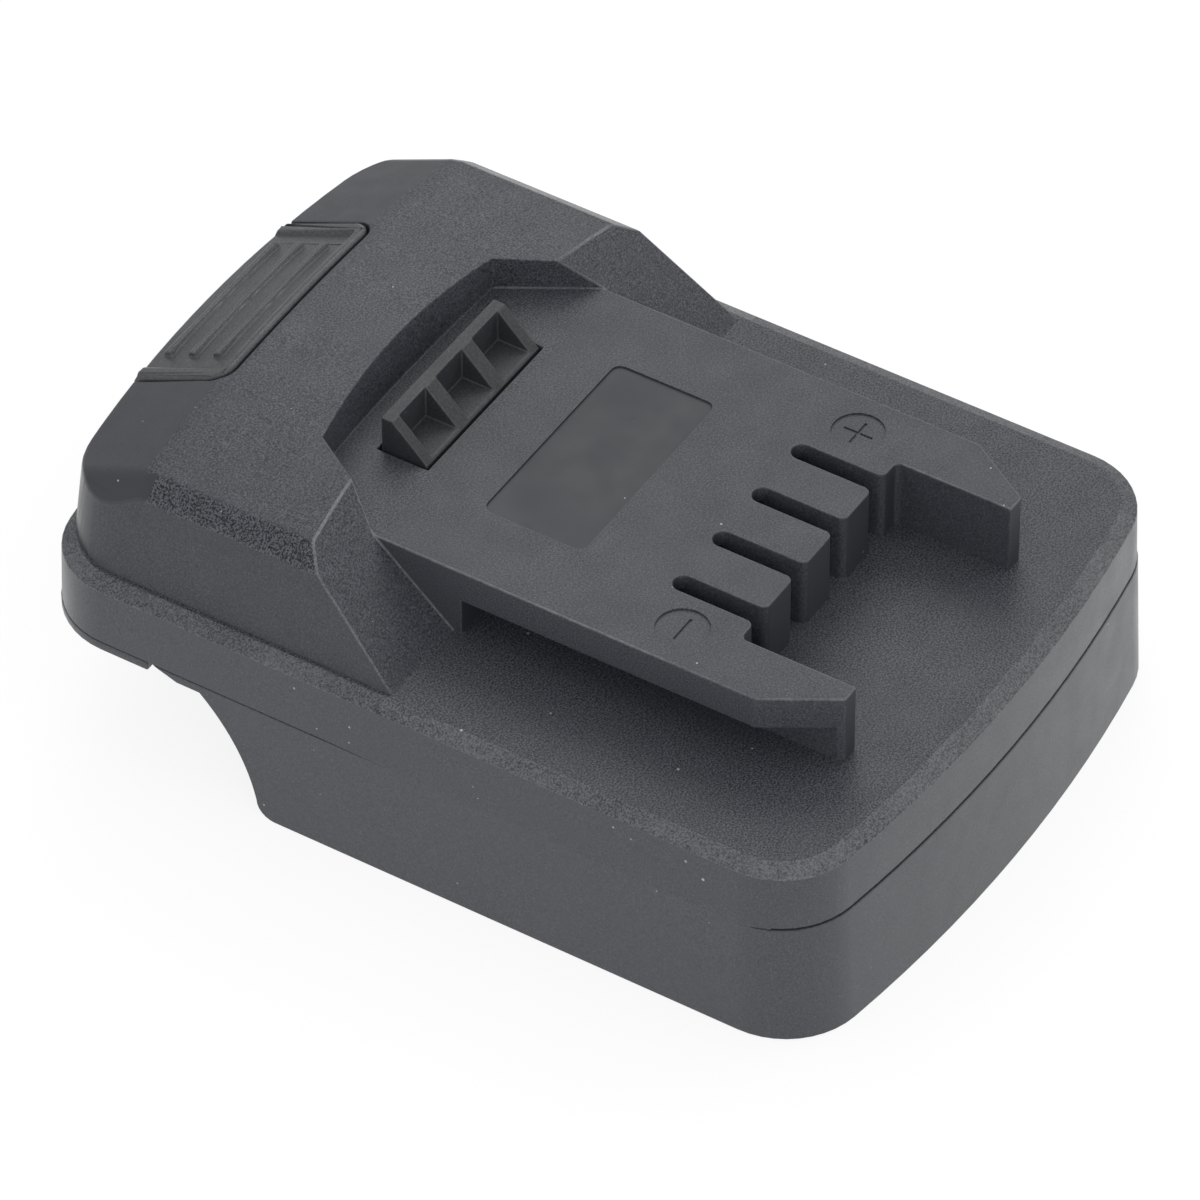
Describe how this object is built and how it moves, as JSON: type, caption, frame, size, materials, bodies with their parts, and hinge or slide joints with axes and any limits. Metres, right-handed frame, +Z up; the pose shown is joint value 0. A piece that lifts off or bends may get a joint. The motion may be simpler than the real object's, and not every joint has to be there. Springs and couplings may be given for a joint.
{
  "type": "tool battery adapter",
  "caption": "Slide-on battery adapter for cordless tools: slotted rail platform, sprung latch and ribbed release button on top, open slide bay with terminal blades underneath.",
  "frame": {"origin": "centre of the case in plan, at the skirt's bottom edge", "axes": "+X across, +Y towards the release button, -Y towards the fork end that enters the tool, +Z up out of the rail platform"},
  "size_m": [0.0808, 0.1112, 0.0404],
  "materials": {
    "shell_plastic": "fine spark-eroded grain",
    "button_plastic": "smooth moulded",
    "latch_plastic": "smooth moulded",
    "insulator_plastic": "moulded",
    "screw_steel": "zinc plated",
    "spring_steel": "drawn wire",
    "terminal_metal": "nickel plated",
    "board_laminate": "solder mask",
    "component_epoxy": "moulded epoxy",
    "capacitor_can": "drawn can",
    "red_insulation": "extruded",
    "black_insulation": "extruded",
    "white_insulation": "extruded"
  },
  "bodies": {
    "case": {"upper_shell": "shell_plastic", "lower_shell": "shell_plastic", "case_screws": "screw_steel", "latch_springs": "spring_steel", "terminal_holder": "insulator_plastic", "holder_screws": "screw_steel", "tool_clip_positive": "terminal_metal", "tool_clip_negative": "terminal_metal", "tool_clip_data": "terminal_metal", "tool_clip_sense": "terminal_metal", "circuit_board": "board_laminate", "board_screws": "screw_steel", "power_transistors": "component_epoxy", "control_chip": "component_epoxy", "board_capacitor": "capacitor_can", "battery_terminal_block": "insulator_plastic", "block_screws": "screw_steel", "battery_blade_positive": "terminal_metal", "battery_blade_negative": "terminal_metal", "battery_blade_signal": "terminal_metal", "positive_wire": "red_insulation", "negative_wire": "black_insulation", "signal_wire": "white_insulation"},
    "latch": {"latch_slider": "latch_plastic", "release_button": "button_plastic", "button_screws": "screw_steel"}
  },
  "joints": [
    {"name": "latch_slide", "type": "slide", "parent": "case", "child": "latch", "axis": [0, 0, -1], "range_m": [0, 0.0048], "stiffness_N_per_m": 1500, "springref_m": -0.002, "deforming": ["latch_springs"]}
  ]
}
